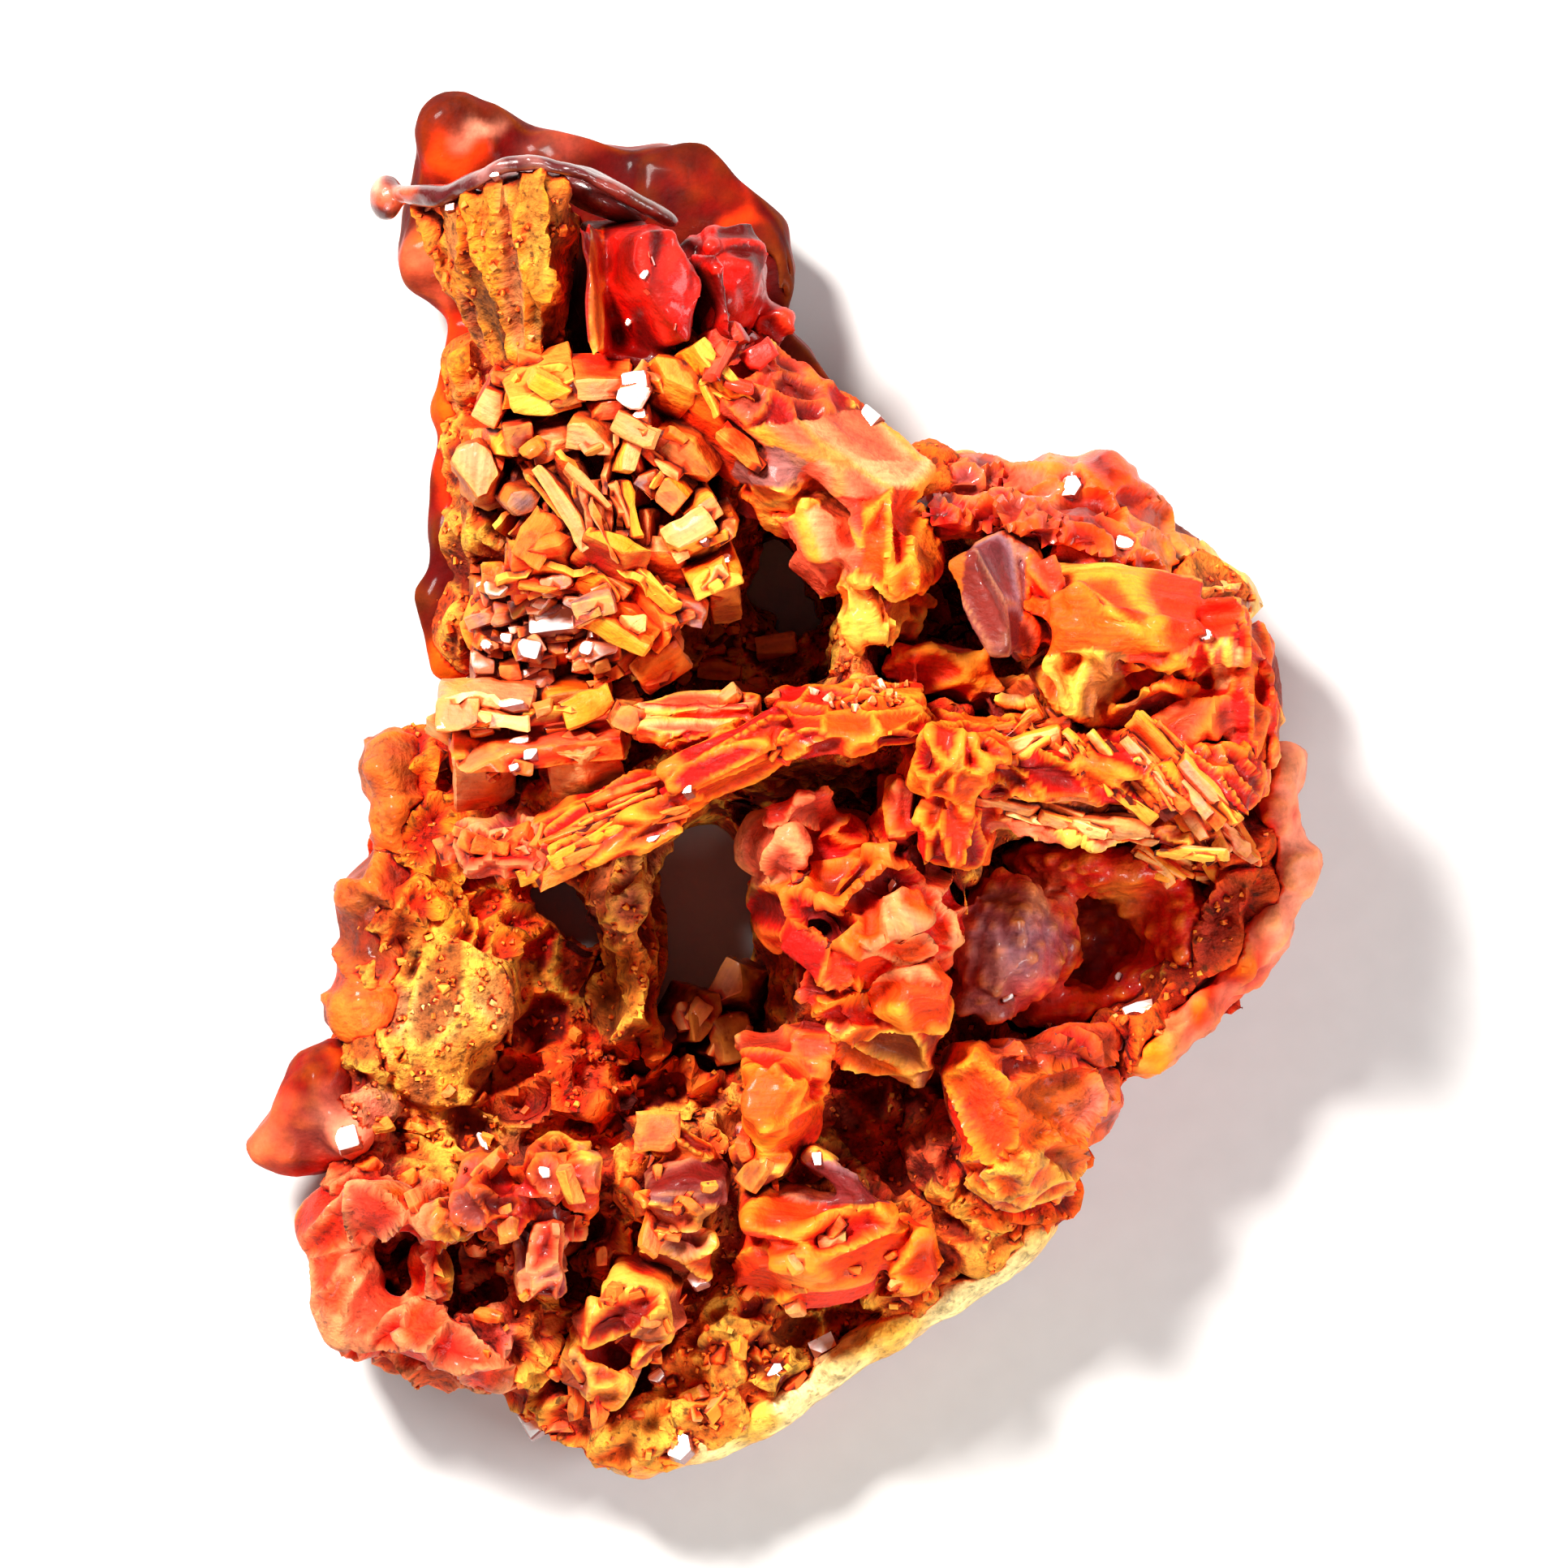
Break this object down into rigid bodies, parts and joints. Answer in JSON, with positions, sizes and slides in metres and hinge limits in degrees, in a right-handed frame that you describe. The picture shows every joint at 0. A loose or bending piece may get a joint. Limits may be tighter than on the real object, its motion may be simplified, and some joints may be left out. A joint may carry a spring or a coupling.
{
  "type": "vanadinite on matrix",
  "caption": "Natural mineral specimen: red, orange and tan tabular crystals and smooth crusts grown over a pitted ochre matrix, lying on its back.",
  "frame": {"origin": "centre of the specimen's footprint, on the plane that it rests on", "axes": "+Y towards the narrow top of the specimen, +X to the right as its face is seen, +Z out of its face"},
  "size_m": [0.0334, 0.0434, 0.015],
  "materials": {
    "matrix_ochre": "rough earthy stone",
    "vanadinite_red": "glossy crystal faces",
    "vanadinite_orange": "satin crystal faces",
    "vanadinite_tan": "satin crystal faces",
    "vanadinite_violet": "glossy crystal faces",
    "vanadinite_pink": "smooth rounded crust",
    "crust_cream": "smooth pale crust"
  },
  "bodies": {
    "root": {"matrix": "matrix_ochre", "cross_band": "vanadinite_orange", "diagonal_arm": "vanadinite_tan", "right_fins": "vanadinite_orange", "violet_fin": "vanadinite_violet", "stepped_stack": "vanadinite_tan", "plate_nest": "vanadinite_tan", "yellow_blades": "crust_cream", "lower_fins": "vanadinite_orange", "glitter_mosaic": "vanadinite_violet", "left_slabs": "vanadinite_tan", "central_cluster": "vanadinite_orange", "horn_crystals": "vanadinite_red", "horn_crest": "vanadinite_violet", "shelf_plate": "vanadinite_orange", "upper_right_crust": "vanadinite_red", "pocket_lining": "vanadinite_red", "right_lobes": "vanadinite_pink", "lower_right_crust": "vanadinite_orange", "lower_orange_block": "vanadinite_orange", "lower_plates": "vanadinite_orange", "brown_plate": "vanadinite_tan", "lower_left_crystals": "vanadinite_red", "lower_middle_crystals": "vanadinite_tan", "deep_crystals": "vanadinite_tan", "cream_rim": "crust_cream", "lower_left_cluster": "vanadinite_pink", "left_spur": "vanadinite_pink", "left_flank": "vanadinite_orange", "back_sheet": "vanadinite_red"}
  },
  "joints": []
}
